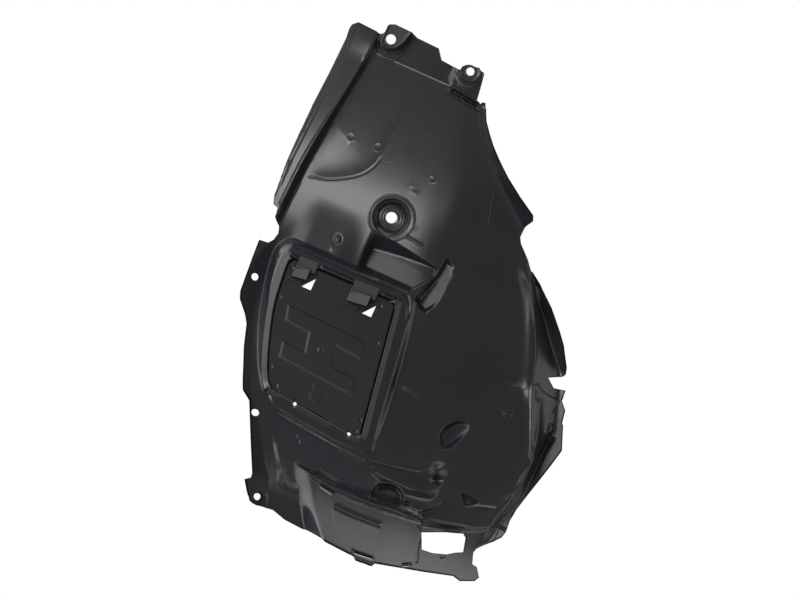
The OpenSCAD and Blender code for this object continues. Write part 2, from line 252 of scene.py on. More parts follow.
def top_flange(u, v):
    """The top flange leans back above its crease."""
    slope = 0.45
    return slope * ramp(v - CREASE, 0.6) * fade(-97, -87, u)


def dents(u, v):
    """The swell left of the shelf, and the dents on the right."""
    swell = -4 * fade(6, 60, -v) * fade(-97, -72, u) * (1 - fade(-42, -15, u))
    return (swell + 4.5 * bump(u, v, 192, -118, 13, 7, 15)
            + 1.5 * bump(u, v, 172, -126, 20, 9, 20) + 3.0 * bump(u, v, 162, -192, 7, 17, -32)
            + 3.5 * bump(u, v, 124, -262, 36, 10, 3) + 4.5 * bump(u, v, 151, -258, 13, 8, 5)
            - 7 * bump(u, v, 159, -232, 9, 7, 30) + 5 * bump(u, v, 163, -244, 6, 4, 20)
            + 5 * bump(u, v, 149, -282, 14, 5, 8))


HATCH_TOP, HATCH_LOW, HATCH_RISE = -84, -229, 7
HATCH_SLOPE = float((arch(HATCH_TOP) - arch(HATCH_LOW)) / (HATCH_TOP - HATCH_LOW))
HATCH_LEAN = math.atan(HATCH_SLOPE)
plinth = rounded([[-95, -112], [-98, -92], [-97, -79], [-90, -71], [-78, -69], [-20, -69],
    [30, -67], [48, -67], [57, -73], [62, -86], [66, -110], [72, -150], [77, -190], [82, -232],
    [82, -243], [76, -250], [60, -252], [20, -248.5], [-24, -243], [-40, -236], [-53, -222],
    [-66, -201], [-81, -162], [-91, -128]], closed=True, n=3)


def hatch(v):
    """The hatch's plane."""
    return float(arch(HATCH_TOP)) - HATCH_RISE + HATCH_SLOPE * (v - HATCH_TOP)


def panel(u, v):
    return (arch(v) + crown(u, v) + lip_left(u, v) + flange_left(u, v) + lip_right(u, v)
            + side(u, v) + bottom(u, v) + shelf(u, v) + top_flange(u, v) + dents(u, v))


def near(line, u, v, reach):
    """Where a line's neighbourhood is, to leave the rest of the panel out of the sum."""
    low, high = np.min(line, 0) - reach, np.max(line, 0) + reach
    return (u > low[0]) & (u < high[0]) & (v > low[1]) & (v < high[1])


def tapered(share, ends):
    """1 along a line, and down to 0 over that share of it at both ends."""
    return fade(0, ends, share) * (1 - fade(1 - ends, 1, share)) if ends else 1.0


def bead(line, height, width, ends=0.0):
    """A rounded rib along a line, or a groove where the height is negative."""
    line = rounded(line)

    def add(u, v):
        out = np.zeros(np.shape(u))
        m = near(line, u, v, 3 * width)
        if m.any():
            d, _, share = from_line(line, u[m], v[m])
            out[m] = -height * tapered(share, ends) * np.exp(-(d / width) ** 2)
        return out
    return add


def step(line, height, width, reach, ends=0.0):
    """The surface to the line's left stands out by height, and sinks back over the reach."""
    line = rounded(line)

    def add(u, v):
        out = np.zeros(np.shape(u))
        m = near(line, u, v, reach)
        if m.any():
            d, which, share = from_line(line, u[m], v[m])
            rise = fade(-width / 2, width / 2, d * which)
            out[m] = -height * tapered(share, ends) * rise * (1 - fade(width / 2, reach, d))
        return out
    return add


def plate(poly, height, width, right=0.0, up=0.0):
    """A patch that stands out, or is sunk where the height is negative, and may be tilted."""
    poly = np.array(poly, float)
    cu, cv = (np.min(poly, 0) + np.max(poly, 0)) / 2

    def add(u, v):
        out = np.zeros(np.shape(u))
        m = near(poly, u, v, width)
        if m.any():
            tilted = height + right * (u[m] - cu) + up * (v[m] - cv)
            out[m] = -tilted * fade(-width / 2, width / 2, inset(poly, u[m], v[m]))
        return out
    return add


def hollow(line, deep, scale):
    """A bowl on the line's left, or a swell where deep is negative, with a crease along it."""
    tilt = 0.09
    line = rounded(line)

    def add(u, v):
        d, which, _ = from_line(line, u, v)
        k = fade(-108, -88, u) * (1 - fade(90, 150, v))
        return np.where(which > 0, k * (deep * (1 - np.exp(-d / scale)) + tilt * d), 0.0)
    return add


def lean(u, v):
    """The top flange leans back further between the pad and the ear."""
    slope = 0.3
    return slope * ramp(v - CREASE, 0.6) * fade(-97, -88, u) * (1 - fade(-6, 4, u))


def ring(cu, cv, r, height, width):
    """A thin raised ring."""
    def add(u, v):
        return -height * np.exp(-((np.hypot(u - cu, v - cv) - r) / width) ** 2)
    return add


def gate(cu, cv, r, height=0.5):
    """The round mark of an injection gate: a low disc with a ring around it."""
    def add(u, v):
        d = np.hypot(u - cu, v - cv)
        disc = -height * (1 - fade(r - 1.6, r - 0.6, d))
        return disc + 0.5 * height * np.exp(-((d - r) / 0.8) ** 2) - 0.6 * height * np.exp(-d ** 2)
    return add


DETAILS = [
    hollow([[-112, 5], [-95, 8], [-80, 12], [-65, 20], [-55, 27], [-47, 35], [-42, 45], [-39, 55],
        [-38, 70], [-37, 85], [-35, 100], [-35, 130], [-38, 150]], -3.6, 14),
    lean,
    bead([[-106, 4], [-95, 6.5], [-80, 10.5], [-65, 18.5], [-53, 27], [-45, 36], [-39.5, 47],
        [-37, 60]], 0.5, 1.2, 0.1),
    ring(0, 0, 25, 0.7, 1.0),
    ring(0, 0, 11.6, 0.7, 0.8),
    ring(0, -1, 8.6, 0.35, 0.6),
    bead([[-98, 150], [-101, 125], [-105, 95], [-110, 62], [-115, 20], [-117, -20],
        [-118, -42]], 1.3, 1.9, 0.05),
    bead([[-119, 180], [-120, 150], [-122.5, 95], [-125, 50], [-127, 10],
        [-126.5, -20]], -0.9, 1.4, 0.04),
    bead([[-85, 156.5], [-76, 157], [-70, 159], [-64, 166], [-60, 178],
        [-57, 192]], 1.0, 1.3, 0.05),
    plate([[4, 156], [4, 152.6], [36, 149.2], [36.3, 152]], -5.5, 1.2),
    bead([[1, 156], [1.5, 151], [4, 150], [37, 146.5], [38.5, 149], [38.5, 152.5], [36, 154.3],
        [4, 158.3], [1, 156]], 1.3, 1.2),
    bead([[-2, 178], [2, 158]], 0.7, 2.0, 0.2),
    bead([[39, 152], [44, 140], [51, 128], [60, 117], [75, 100], [92, 82]], 0.9, 1.3, 0.1),
    bead([[90, 80], [101, 35]], 0.25, 0.7, 0.1),
    gate(-45, -46, 5.5, 1.0),
    gate(205, -145, 5.5, 1.0),
    gate(199.5, -144, 2.5, 0.6),
    gate(24, 57, 4, 0.3),
    gate(-77, 63, 4.5, 0.22),
    gate(-45, 65, 4.5, 0.22),
    gate(8, 38, 4, 0.15),
    gate(-26, 54, 2, 0.15),
    gate(4.5, -260.5, 2.5, 0.7),
    gate(9, -265, 2.5, 0.7),
    gate(185, -271, 5, 1.0),
    gate(201, -315, 4, 0.4),
    bead([[-46, -56], [-46, -58]], 0.4, 1.5),
    bead([[168, 2], [175, -12], [190, -40], [205, -70], [213, -95], [222, -120], [235, -150],
        [250, -184]], 1.2, 1.3, 0.04),
    step([[252, -109], [240, -108.5], [228, -106], [220, -100]], 2.0, 2.6, 24, 0.1),
    bead([[222, -104], [232, -128], [240, -150], [247, -172]], -1.8, 2.4, 0.1),
    bead([[228, -114], [236, -134], [243, -152], [250, -182]], 2.6, 3.4, 0.1),
    bead([[252, -160], [251, -185], [247.5, -205], [247, -222], [241, -236]], 2.0, 1.6, 0.1),
    bead([[260, -145], [256.5, -165], [255.5, -190], [252.5, -212], [248, -228]], -5.0, 3.2, 0.1),
    bead([[254.5, -134], [255.5, -148]], 4.0, 3.2, 0.3),
    step([[76, -165], [100, -167], [124, -171]], 3.0, 6, 30, 0.4),
    bead([[112, -163], [135, -166], [166, -166]], 1.0, 3.5, 0.2),
    plate([[150, -203], [147, -196], [149, -186], [156, -177], [165, -173], [172, -174],
        [172, -180], [168, -190], [162, -203], [156, -207]], -6.5, 6, 0.45),
    plate([[93, -258], [97, -251], [120, -247], [140, -243], [156, -236], [168, -240],
        [169, -250], [163, -262], [140, -267], [110, -266], [97, -263]], -3.5, 9, 0.0, 0.2),
    bead([[86, -251], [120, -245.5], [139, -241], [152, -232]], -1.2, 1.1, 0.12),
    bead([[88, -254], [120, -248.5], [140, -244], [160, -247]], 1.3, 1.5, 0.12),
    plate([[103, -281], [106, -274], [112, -270], [120, -268], [127, -268], [133, -271],
        [137, -277], [136, -284], [120, -287], [104, -286]], -11, 4.5),
    bead([[103, -279], [107, -271.5], [117, -266.5], [128, -266], [136, -271],
        [139, -277]], 0.9, 1.2, 0.1),
    plate([[193, -245], [215, -246.5], [203, -255]], -4.5, 3),
    bead([[202, -258.5], [216, -251], [236, -245]], 1.4, 1.6, 0.1),
    bead([[31, -285.5], [50, -287.5], [66, -289], [85, -288], [105, -284.5], [130, -281.5],
        [152, -278]], -4.0, 2.2, 0.1),
    bead([[33, -290.5], [60, -293], [100, -292.5], [140, -289], [160, -288.5]], 1.6, 1.7, 0.06),
    bead([[32, -294.5], [60, -297.5], [100, -298], [150, -293.5],
        [165, -292.5]], -1.3, 1.1, 0.04),
    bead([[120, -285.5], [140, -283.5], [160, -284]], 1.5, 2.0, 0.2),
    bead([[158, -279], [161, -284], [165, -291]], -2.0, 1.6, 0.2),
    bead([[70, -313.5], [95, -314], [128, -312.5]], -2.6, 2.6, 0.06),
    bead([[67, -315], [78, -330], [92, -345]], 0.9, 1.6, 0.12),
    bead([[163, -293], [170, -300], [172, -315], [179, -334]], 0.9, 1.4, 0.05),
    bead([[165, -288.5], [195, -281.5], [221, -274.5]], 2.4, 1.6, 0.06),
    bead([[167, -294], [190, -286], [213, -277.5]], -1.6, 1.3, 0.06),
    bead([[-30, -262], [-12, -290], [4, -316]], -1.6, 3.0, 0.15),
    bead([[-16, -275], [4, -300], [14, -318]], 1.2, 2.4, 0.15),
    bead([[-2, -300], [14, -314], [34, -312]], 1.2, 4.0, 0.2),
    step([[252, -228], [247, -250], [246, -290]], 1.5, 4, 16, 0.15),
    plate([[108, -347.5], [134.5, -345.5], [134.5, -352.5], [109, -354]], 1.2, 1.6),
    bead([[20, -12], [45, -15]], 0.6, 1.5, 0.15),
    plate([[75, -18], [84, -22], [87, -34], [86, -52], [82, -70], [76, -79], [69, -77], [62, -70],
        [68, -52], [73, -36]], -7, 6, 0.6),
    bead([[87, -24], [89, -36], [88, -54], [83.5, -72], [76, -81]], 1.0, 1.8, 0.1),
    bead([[-6, -66.5], [20, -67], [48, -68], [52, -66], [61, -54], [71, -40]], 1.1, 1.5, 0.04),
    bead([[-95, -125], [-96.5, -95], [-96, -83], [-91.5, -75.5], [-84, -71.8], [-60, -71.2],
        [-20, -71.5], [0, -71], [30, -69.5], [46, -69.5], [54, -75], [60, -90],
        [63, -105]], -2.4, 2.2, 0.1),
    bead([[-98, -100], [-93, -120], [-88, -140], [-82, -160], [-75, -180], [-66, -200],
        [-55, -220], [-45, -232], [-33, -243]], -1.2, 2.0, 0.1),
    bead([[-33, -247], [20, -252.5], [50, -255.5], [75, -255.5], [83, -250]], -1.4, 1.8, 0.06),
    bead([[-30, -243.5], [20, -247.5], [50, -249.5], [78, -249.5], [81, -244]], -1.2, 1.2, 0.06),
]
FACET = [[161, -282], [170, -273], [178, -263], [200, -260], [214, -258], [222, -252],
    [240, -249], [238, -256], [228, -262], [234, -264], [222, -273.5], [196, -280], [168, -287]]
FACET_MIDDLE, FACET_DEPTH, FACET_SLOPE, FACET_TILT = (205, -252), -71, 0.72, 0.17
PAD_MIDDLE, PAD_HEIGHT = (-80.0, 178.5), 6
EAR_MIDDLE, EAR_HEIGHT = (14.0, 181.5), 2.5
PAD_TOP = float(panel(*PAD_MIDDLE)) - PAD_HEIGHT
EAR_TOP = float(panel(*EAR_MIDDLE)) - EAR_HEIGHT
# Each ring round the ear's hole: radius and width
EAR_RINGS, EAR_RING_HEIGHT = ((10.3, 0.9), (15, 1.1)), 0.8
# The raised line inside the pad's edge: its inset, width and height
PAD_LINE, PAD_LINE_WIDTH, PAD_LINE_HEIGHT = 3, 1.1, 0.8

plinth_right = curve([[-245, 74], [-190, 69], [-110, 56], [-70, 48]])
band_line = curve([[-240, -52], [-217, -58], [-206, -64], [-188, -71], [-170, -77], [-150, -83],
    [-130, -87], [-110, -89.5], [-93, -90.5], [-60, -90]])


def depth(u, v):
    """The liner's front: the panel, the hatch's plinth, and all details."""
    u, v = np.asarray(u, float), np.asarray(v, float)
    k = fade(-6, 2, inset(plinth, u, v))
    d = np.hypot(u, v)
    c = fade(CUP_RADIUS - 9, CUP_RADIUS, d)
    edge = 0.6 * ramp(band_line(v) + 1.5 - u, 1.5) * fade(58, 74, -v) * (1 - fade(212, 226, -v))
    edge = edge + 0.35 * ramp(u - plinth_right(v), 3) * fade(70, 100, -v) * (1 - fade(225, 240, -v))
    base = k * (hatch(v) + edge) + (1 - k) * c * panel(u, v)
    for add in DETAILS:
        base = base + add(u, v)
    k = fade(-1.5, 1.5, inset(FACET, u, v))
    facet = FACET_DEPTH + FACET_SLOPE * (v - FACET_MIDDLE[1]) + FACET_TILT * (u - FACET_MIDDLE[0])
    base = np.maximum(base, (1 - k) * base + k * facet)
    k = fade(-2.5, 2.0, inset(pad_line, u, v))
    base = (1 - k) * base + k * PAD_TOP
    line = np.exp(-((inset(pad_line, u, v) - PAD_LINE) / PAD_LINE_WIDTH) ** 2)
    base = base - k * PAD_LINE_HEIGHT * line
    d = np.hypot(u - EAR_MIDDLE[0], v - EAR_MIDDLE[1])
    k = 1 - fade(11, 13.5, d)
    base = (1 - k) * base + k * EAR_TOP
    for r, width in EAR_RINGS:
        base = base - EAR_RING_HEIGHT * np.exp(-((d - r) / width) ** 2)
    return base


outline = [[-127, 170], [-126, 176], [-121, 180.5], [-92.5, 179], [-89, 184], [-89, 190],
    [-87, 193.5], [-82, 195.5], [-62, 195], [-54, 192], [-28, 191], [-20, 180.5], [2, 178.5],
    [4, 182], [7, 186.5], [11, 188.5], [22, 188.5], [29.5, 185.5], [31, 175], [34, 154],
    [38, 153], [40, 156], [43.5, 157], [48, 146], [52, 138], [60, 128], [70, 116.5], [80, 107],
    [90, 98.5], [100, 90.5], [120, 77], [141, 64.5], [143.5, 59], [138.5, 50], [138.5, 38],
    [142, 32], [156, 19], [165, 8.5], [180, -2], [200, -19], [220, -40], [230, -52], [238, -65],
    [243, -73], [245, -80], [243, -83.5], [230, -90.5], [233, -93], [240, -98.5], [252, -96],
    [253, -108], [260.5, -116], [263, -130], [265, -132], [275, -157], [271, -175], [261, -215],
    [256, -237], [254, -250], [255, -262], [253, -270], [233, -292], [231, -298], [235, -310],
    [241, -311], [247.5, -320], [245, -324.5], [230, -331], [221, -329], [190, -337.5],
    [137, -350.5], [135, -354.5], [116, -356], [113, -353], [60, -350], [28, -348], [12, -343.5],
    [-5, -346], [-14, -344], [-22, -335], [-29, -325], [-23.5, -321], [-24, -316], [-41, -283],
    [-56.5, -252], [-60, -245], [-71, -237.5], [-76, -227], [-90, -193], [-97, -170],
    [-103, -161], [-115, -148], [-118, -140], [-121, -100], [-122, -81], [-112, -80],
    [-107.5, -74], [-106.5, -66], [-109, -58.5], [-117, -51], [-119, -41], [-125, -39],
    [-128, -30], [-131, 10], [-131, 30], [-130, 80], [-127.5, 120], [-126, 160]]
duct = [[170, -300], [195, -289], [213, -283], [217, -286], [221, -302], [213, -306],
    [205, -311.5], [190, -316.5], [178, -317.5]]
slots = [[[47, -297], [49, -301], [64, -303.5], [66, -299.5]], [[111, -348.5], [112, -351],
    [133, -349], [132, -346.5]], [[164, -340], [166, -343], [174.5, -338.5], [173, -335]]]
pad_line = [[-92, 205], [-58, 205], [-61, 190], [-64, 180], [-70, 170], [-79, 165.5],
    [-88, 165.5], [-92, 172]]
hatch_line = [[-83.5, -93], [-82.5, -89], [-80, -86], [-76, -84.2], [36, -83], [40, -84],
    [43, -87], [44.5, -91], [66, -226], [66.3, -231], [64, -234], [60, -235.5], [-38, -226.2],
    [-43, -225], [-47.5, -222], [-51, -217], [-57, -206], [-64, -188], [-70, -170], [-76, -150],
    [-80, -130], [-82.3, -110]]
# Each round hole's middle and radius
round_holes = [[0, 0, 6.2], [-80, 178.5, 5.5], [14, 181.5, 4.5], [-110, -120, 4.2],
    [-49, -255, 4.2], [-9, -337, 4.2]]


def even(points, step, closed=True):
    """The same line with its points about that far apart, and its corners kept."""
    p = np.array(points, float)
    q = np.roll(p, -1, 0) if closed else p[1:]
    out = []
    for a, b in zip(p, q):
        n = max(1, int(round(np.linalg.norm(b - a) / step)))
        out += [a + (b - a) * i / n for i in range(n)]
    return np.array(out if closed else out + [p[-1]])


def circle(cu, cv, r, n):
    a = np.arange(n) * 2 * math.pi / n
    return np.stack([cu + r * np.cos(a), cv + r * np.sin(a)], 1)


def shifted(poly, d):
    """The closed line moved to its left by d."""
    p = np.array(poly, float)
    t = np.roll(p, -1, 0) - np.roll(p, 1, 0)
    t /= np.linalg.norm(t, axis=1)[:, None]
    return p + d * np.stack([-t[:, 1], t[:, 0]], 1)


def area(poly):
    x, y = np.array(poly, float).T
    return 0.5 * float(np.sum(x * np.roll(y, -1) - np.roll(x, -1) * y))


def gather(low, high, rise, tolerance, smallest=1.0, largest=16):
    """Points of a square net over the panel, closer where the surface bends."""
    n = [int(math.ceil((high[i] - low[i]) / largest)) * int(largest / smallest) for i in (0, 1)]
    x = low[0] + smallest * np.arange(n[0] + 1)
    y = low[1] + smallest * np.arange(n[1] + 1)
    z = rise(*np.meshgrid(x, y, indexing="ij"))
    keep = np.zeros(z.shape, bool)
    size = int(largest / smallest)
    alive = np.ones((n[0] // size, n[1] // size), bool)
    while True:
        a, b = alive.shape
        idx = np.argwhere(alive)
        for i in (0, 1):
            for j in (0, 1):
                keep[(idx[:, 0] + i) * size, (idx[:, 1] + j) * size] = True
        if size == 1:
            break
        c00, c10 = z[:-1:size, :-1:size][:a, :b], z[size::size, :-1:size][:a, :b]
        c01, c11 = z[:-1:size, size::size][:a, :b], z[size::size, size::size][:a, :b]
        worst = np.zeros((a, b))
        for i in range(size + 1):
            for j in range(size + 1):
                s, t = i / size, j / size
                w = z[i:i + (a - 1) * size + 1:size, j:j + (b - 1) * size + 1:size]
                flat = (1 - s) * (1 - t) * c00 + s * (1 - t) * c10 + (1 - s) * t * c01 + s * t * c11
                worst = np.maximum(worst, np.abs(w - flat))
        split = alive & (worst > tolerance)
        size //= 2
        alive = np.kron(split, np.ones((2, 2), bool)).astype(bool)
    i, j = np.nonzero(keep)
    return np.stack([x[i], y[j]], 1)


def normals_of(rise, u, v, h=0.35):
    a = (rise(u + h, v) - rise(u - h, v)) / (2 * h)
    b = (rise(u, v + h) - rise(u, v - h)) / (2 * h)
    n = np.stack([a, -np.ones_like(a), b], 1)
    return n / np.linalg.norm(n, axis=1)[:, None]


def on_hatch(p):
    """From the hatch's plane, as (right, away, up), to the frame's millimetres."""
    p = np.asarray(p, float)
    c, s = math.cos(HATCH_LEAN), math.sin(HATCH_LEAN)
    return np.stack([p[:, 0], p[:, 2] * s + p[:, 1] * c, p[:, 2] * c - p[:, 1] * s], 1)


# How far the rows beside an edge lie from it, and the least distance of rows and other points
ROWS, ROW_CLEARANCE, POINT_CLEARANCE = (0.9, 2.2), 0.7, 2.6
HOLE_SPACING = 1.0
RIM_NORMAL_SHARE = 0.75


def sheet_mesh(name, edge, holes, rise, tolerance, wall=WALL, spacing=2.0, round_by=0.5,
               leaning=False):
    """A moulded sheet: rise(u, v) is its front, and its back lies one wall behind."""
    loops = [even(edge, spacing)] + [even(h, min(spacing, HOLE_SPACING)) for h in holes]
    rings, fixed, edges = [], [], []
    for k, loop in enumerate(loops):
        inward = math.copysign(1, area(loop)) * (1 if k == 0 else -1)
        start = sum(len(f) for f in fixed)
        fixed.append(loop)
        edges += [(start + i, start + (i + 1) % len(loop)) for i in range(len(loop))]
        rings += [shifted(loop, inward * d) for d in ROWS]
    fixed = np.vstack(fixed)
    low, high = fixed.min(0) - 2, fixed.max(0) + 2

    def clear(p, distance):
        ok = within(edge, p[:, 0], p[:, 1])
        for h in holes:
            ok &= ~within(h, p[:, 0], p[:, 1])
        for loop in loops:
            near = from_line(np.vstack([loop, loop[:1]]), p[ok, 0], p[ok, 1])[0] > distance
            ok[np.nonzero(ok)[0][~near]] = False
        return p[ok]

    rows = clear(np.vstack(rings), ROW_CLEARANCE)
    free = clear(gather(low, high, rise, tolerance), POINT_CLEARANCE)
    points = np.round(np.vstack([fixed, rows, free]), 4)
    found = delaunay_2d_cdt([Vector(p) for p in points], edges, [], 0, 1e-5)
    flat = np.array([tuple(p) for p in found[0]])
    tris = np.array(found[2])
    c = flat[tris].mean(1)
    ok = within(edge, c[:, 0], c[:, 1])
    for h in holes:
        ok &= ~within(h, c[:, 0], c[:, 1])
    tris = tris[ok]
    used = np.unique(tris)
    index = np.full(len(flat), -1)
    index[used] = np.arange(len(used))
    flat, tris = flat[used], index[tris]
    a, b, c = flat[tris[:, 0]], flat[tris[:, 1]], flat[tris[:, 2]]
    turn = (b[:, 0] - a[:, 0]) * (c[:, 1] - a[:, 1]) - (b[:, 1] - a[:, 1]) * (c[:, 0] - a[:, 0])
    tris[turn < 0] = tris[turn < 0][:, ::-1]
    u, v = flat.T
    y = rise(u, v)
    n = normals_of(rise, u, v)
    front = np.stack([u, y, v], 1)
    back = front - wall * n
    directed = np.vstack([tris[:, [0, 1]], tris[:, [1, 2]], tris[:, [2, 0]]])
    _, inverse, count = np.unique(np.sort(directed, 1), axis=0, return_inverse=True,
                                  return_counts=True)
    rim = directed[count[inverse.ravel()] == 1]
    out = np.zeros((len(front), 3))
    for i, j in rim:
        d = front[j] - front[i]
        m = np.cross(d, n[i])
        m /= max(1e-9, np.linalg.norm(m))
        out[i] += m
        out[j] += m
    on_rim = np.unique(rim)
    out[on_rim] /= np.linalg.norm(out[on_rim], axis=1)[:, None]
    probe = front[on_rim] + out[on_rim] * 0.3
    if within(edge, probe[:, 0], probe[:, 2]).mean() > 0.5:
        out = -out
    front[on_rim] -= round_by * n[on_rim]
    back[on_rim] += round_by * n[on_rim]
    k = len(front)
    verts = np.vstack([front, back])
    faces = np.vstack([tris, k + tris[:, ::-1], np.stack([rim[:, 1], rim[:, 0], k + rim[:, 0]], 1),
                       np.stack([rim[:, 1], k + rim[:, 0], k + rim[:, 1]], 1)])
    nf, nb = n.copy(), -n
    for side_normals in (nf, nb):
        side_normals[on_rim] = side_normals[on_rim] * RIM_NORMAL_SHARE + out[on_rim]
    normals = np.vstack([nf, nb])
    normals /= np.linalg.norm(normals, axis=1)[:, None]
    if leaning:
        verts, normals = on_hatch(verts) + [0, hatch(HATCH_TOP), HATCH_TOP], on_hatch(normals)
    return make(name, verts, faces, normals)


def make(name, verts, faces, normals=None, smooth=True):
    mesh = bpy.data.meshes.new(name)
    if not isinstance(faces, list):
        faces = faces.tolist()
    mesh.from_pydata((np.asarray(verts) * MM).tolist(), [], faces)
    mesh.validate()
    mesh.update()
    if smooth:
        mesh.shade_smooth()
    if normals is not None:
        mesh.normals_split_custom_set_from_vertices(normals.tolist())
    obj = bpy.data.objects.new(name, mesh)
    bpy.context.scene.collection.objects.link(obj)
    return obj


SPECULAR_LEVEL = 0.75
ROUGHNESS_SPREAD = 0.06
FLOW_SCALE, FLOW_DETAIL = 9, 5
GRAIN_SCALE, GRAIN_DETAIL, GRAIN_DEPTH = 900, 3, 0.0002


def plastic(name, colour, roughness, grain, tint=0.25):
    """Black moulded plastic with faint flow marks, dust and a fine texture."""
    m = bpy.data.materials.new(name)
    m.use_nodes = True
    t = m.node_tree
    shader = t.nodes["Principled BSDF"]
    shader.inputs["Specular IOR Level"].default_value = SPECULAR_LEVEL
    place = t.nodes.new("ShaderNodeTexCoord")
    large = t.nodes.new("ShaderNodeTexNoise")
    large.inputs["Scale"].default_value = FLOW_SCALE
    large.inputs["Detail"].default_value = FLOW_DETAIL
    fine = t.nodes.new("ShaderNodeTexNoise")
    fine.inputs["Scale"].default_value = GRAIN_SCALE
    fine.inputs["Detail"].default_value = GRAIN_DETAIL
    for n in (large, fine):
        t.links.new(place.outputs["Object"], n.inputs["Vector"])
    mix = t.nodes.new("ShaderNodeMix")
    mix.data_type = "RGBA"
    mix.inputs["A"].default_value = (*[c * (1 - tint) for c in colour], 1)
    mix.inputs["B"].default_value = (*[c * (1 + tint) for c in colour], 1)
    t.links.new(large.outputs["Fac"], mix.inputs["Factor"])
    t.links.new(mix.outputs["Result"], shader.inputs["Base Color"])
    rough = t.nodes.new("ShaderNodeMapRange")
    rough.inputs["To Min"].default_value = roughness - ROUGHNESS_SPREAD
    rough.inputs["To Max"].default_value = roughness + ROUGHNESS_SPREAD
    t.links.new(large.outputs["Fac"], rough.inputs["Value"])
    t.links.new(rough.outputs["Result"], shader.inputs["Roughness"])
    relief = t.nodes.new("ShaderNodeBump")
    relief.inputs["Strength"].default_value = grain
    relief.inputs["Distance"].default_value = GRAIN_DEPTH
    t.links.new(fine.outputs["Fac"], relief.inputs["Height"])
    t.links.new(relief.outputs["Normal"], shader.inputs["Normal"])
    return m


liner_black = plastic("liner_black", (0.0205, 0.0198, 0.0255), 0.24, 0.12)


def finished(obj, body, material):
    obj.data.materials.append(material)
    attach(obj, body)
    return obj


# The round holes beside the two hinge tabs
TAB_HOLES, TAB_HOLE_RADIUS = [(-13.5, -229.8), (54.0, -235.6)], 2.0


def notched(loop, reach=2.6):
    """The opening's edge, led round below each hole beside a hinge tab."""
    loop = even(loop, 0.6)
    for a, b in TAB_HOLES:
        beside = (np.abs(loop[:, 0] - a) < reach) & (np.abs(loop[:, 1] - b) < 4)
        angle = (loop[beside, 0] - a) / reach * math.pi / 2
        loop[beside] = np.stack([a + reach * np.sin(angle), b - reach * np.cos(angle)], 1)
    return loop


HOLE_SIDES, LINER_TOLERANCE = 36, 0.075
# The hatch's line runs clockwise, so its left is outside it
hatch_hole = notched(shifted(hatch_line, HATCH_HOLE_MARGIN))
holes = [duct] + slots + [hatch_hole] + [circle(a, b, r, HOLE_SIDES) for a, b, r in round_holes]
shell = sheet_mesh("liner_panel", outline, holes, depth, LINER_TOLERANCE)
finished(shell, "liner", liner_black)
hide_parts("liner_shell")


def prism_faces(n):
    """The two ends and the sides of a prism over n points."""
    sides = [[i, i + n, (i + 1) % n + n, (i + 1) % n] for i in range(n)]
    return [list(range(n)), list(range(2 * n - 1, n - 1, -1))] + sides


def prism(name, poly, front, back):
    """A prism along Y over a polygon of (right, up) points."""
    p = np.array(poly, float)
    if area(p) < 0:
        p = p[::-1]
    verts = [(x, front, z) for x, z in p] + [(x, back, z) for x, z in p]
    return make(name, verts, prism_faces(len(p)), smooth=False)


# The plate behind each slot: how much larger it is, and its front and back behind the panel's front
BACKING_SCALE, BACKING_FRONT, BACKING_BACK = 1.12, 6.5, 8.5
for i, slot_line in enumerate(slots):
    middle = np.mean(slot_line, axis=0)
    y = float(depth(middle[0], middle[1]))
    line = middle + (np.array(slot_line) - middle) * BACKING_SCALE
    backing = prism(f"slot_back_{i + 1}", line, y + BACKING_FRONT, y + BACKING_BACK)
    finished(backing, "liner", liner_black)


def flat(p):
    """Points of the front view, as they lie on the hatch's leaning plane."""
    p = np.array(p, float)
    return np.stack([p[:, 0], (p[:, 1] - HATCH_TOP) / math.cos(HATCH_LEAN)], 1)


def loop_sweep(name, loop, profile, shape=None):
    """A closed profile of (outwards, towards the viewer) points, swept round a clockwise loop."""
    loop = np.array(loop, float)
    t = np.roll(loop, -1, 0) - np.roll(loop, 1, 0)
    t /= np.linalg.norm(t, axis=1)[:, None]
    out = np.stack([-t[:, 1], t[:, 0]], 1)
    verts, n, m = [], len(loop), len(profile)
    for p, o in zip(loop, out):
        for e, z in (shape(p, profile) if shape else profile):
            verts.append((p[0] + o[0] * e, -z, p[1] + o[1] * e))
    faces = [(i * m + j, i * m + (j + 1) % m, ((i + 1) % n) * m + (j + 1) % m,
              ((i + 1) % n) * m + j) for i in range(n) for j in range(m)]
    return make(name, on_hatch(verts) + [0, hatch(HATCH_TOP), HATCH_TOP], faces)


BEVEL_ANGLE = 35


def bevelled(obj, width, segments=2):
    b = obj.modifiers.new("edges", "BEVEL")
    b.width = width * MM
    b.segments = segments
    b.limit_method = "ANGLE"
    b.angle_limit = math.radians(BEVEL_ANGLE)
    b.harden_normals = True
    return obj


def block(name, poly, low, top):
    """A prism on the hatch's plane, from low to top, which is a height or a function of the place."""
    p = np.array(poly, float)
    if area(p) < 0:
        p = p[::-1]
    ends = [top(x, y) if callable(top) else top for x, y in p]
    verts = [(x, -low, y) for x, y in p] + [(x, -z, y) for (x, y), z in zip(p, ends)]
    return make(name, on_hatch(verts) + [0, hatch(HATCH_TOP), HATCH_TOP], prism_faces(len(p)),
                smooth=False)


def drill(obj, spot):
    """Cuts a round hole straight through a piece from the front."""
    y, reach, sides = float(hatch(spot[1])), 25, 24
    cutter = prism("cutter", circle(spot[0], spot[1], TAB_HOLE_RADIUS, sides), y - reach, y + reach)
    cut = obj.modifiers.new("hole", "BOOLEAN")
    cut.operation, cut.solver, cut.object = "DIFFERENCE", "EXACT", cutter
    bpy.context.view_layer.update()
    evaluated = obj.evaluated_get(bpy.context.evaluated_depsgraph_get())
    result = bpy.data.meshes.new_from_object(evaluated)
    obj.modifiers.remove(cut)
    obj.data = result
    bpy.data.objects.remove(cutter)


opening = even(rounded(flat(hatch_line), closed=True, n=3), 1.5)
